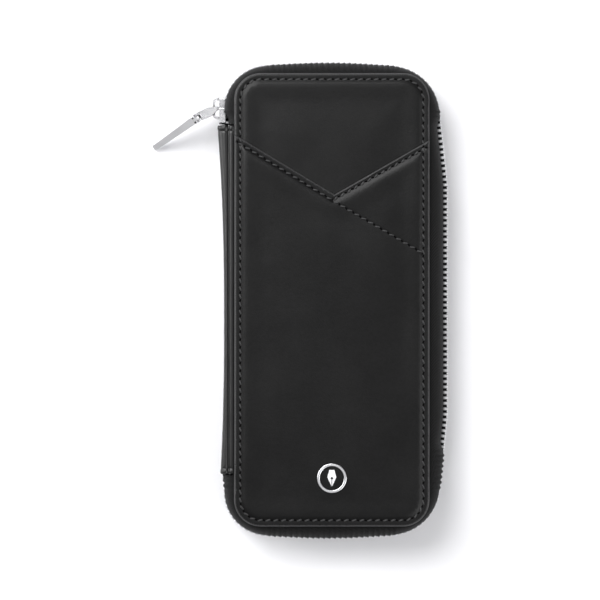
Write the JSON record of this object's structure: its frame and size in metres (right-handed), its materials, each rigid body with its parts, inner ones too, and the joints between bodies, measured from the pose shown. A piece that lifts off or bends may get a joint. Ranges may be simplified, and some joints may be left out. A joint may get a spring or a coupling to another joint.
{
  "type": "fountain pen case",
  "caption": "Black leather zip-round pen case with a V-cut front pocket, round metal badge, leather spine, metal zip with bar puller and elastic pen loops inside.",
  "frame": {"origin": "centre of the back cover's outer face, which the case lies on", "axes": "+Z through the thickness towards the pocket side, +Y along the case, +X away from the spine"},
  "size_m": [0.1069, 0.1718, 0.0255],
  "materials": {
    "black_leather": "smooth calf, satin",
    "board": "matt",
    "lining": "fine cloth",
    "elastic": "ribbed elastic",
    "zip_tape": "woven tape",
    "zip_metal": "polished",
    "puller_metal": "satin bright plating",
    "badge_metal": "polished",
    "badge_field": "satin dark"
  },
  "bodies": {
    "back_cover": {"back_cover_leather": "black_leather", "back_stiffener_board": "board", "back_lining": "lining", "back_spine_flap": "black_leather", "back_zip_tape": "zip_tape", "back_zip_tape_corner": "zip_tape", "back_zip_teeth": "zip_metal", "back_zip_teeth_corner": "zip_metal", "zip_end_stop": "zip_metal", "upper_pen_loops": "elastic", "lower_pen_loops": "elastic"},
    "spine": {"spine_leather": "black_leather", "spine_lining": "lining"},
    "front_cover": {"front_cover_leather": "black_leather", "front_pocket_panel": "black_leather", "front_stiffener_board": "board", "front_lining": "lining", "inner_slip_pocket": "lining", "front_spine_flap": "black_leather", "front_zip_tape": "zip_tape", "front_zip_tape_corner": "zip_tape", "front_zip_teeth": "zip_metal", "front_zip_teeth_corner": "zip_metal", "badge_ring": "badge_metal", "badge_inlay": "badge_field", "badge_motif": "badge_metal", "badge_clinch": "badge_metal"},
    "slider": {"slider_body": "puller_metal", "slider_bridge": "puller_metal"},
    "link": {"puller_link": "puller_metal", "puller_pin": "puller_metal"},
    "bar": {"puller_bar": "puller_metal"}
  },
  "joints": [
    {"name": "back_fold", "type": "hinge", "parent": "back_cover", "child": "spine", "pos_m": [-0.0382, 0, 0.0022], "axis": [0, -1, 0], "range_deg": [0, 90]},
    {"name": "front_fold", "type": "hinge", "parent": "spine", "child": "front_cover", "pos_m": [-0.0382, 0, 0.0234], "axis": [0, -1, 0], "range_deg": [0, 90]},
    {"name": "slider_corner_run", "type": "hinge", "parent": "back_cover", "child": "slider", "pos_m": [-0.0229, 0.0682, 0.0119], "axis": [0, 0, -1], "range_deg": [0, 90], "deforming": ["front_zip_tape_corner", "back_zip_tape_corner", "front_zip_teeth_corner", "back_zip_teeth_corner"]},
    {"name": "link_pivot", "type": "hinge", "parent": "slider", "child": "link", "pos_m": [-0.04125, 0.0692, 0.0119], "axis": [0, 0, 1], "range_deg": [-91, 39]},
    {"name": "bar_pivot", "type": "hinge", "parent": "link", "child": "bar", "pos_m": [-0.04822, 0.0658, 0.0119], "axis": [-0.5519, 0.8339, 0], "range_deg": [0, 115]}
  ],
  "couplings": [
    {"joint": "front_fold", "follows": "back_fold", "ratio": 1},
    {"joint": "slider_corner_run", "follows": "back_fold", "ratio": 1}
  ]
}
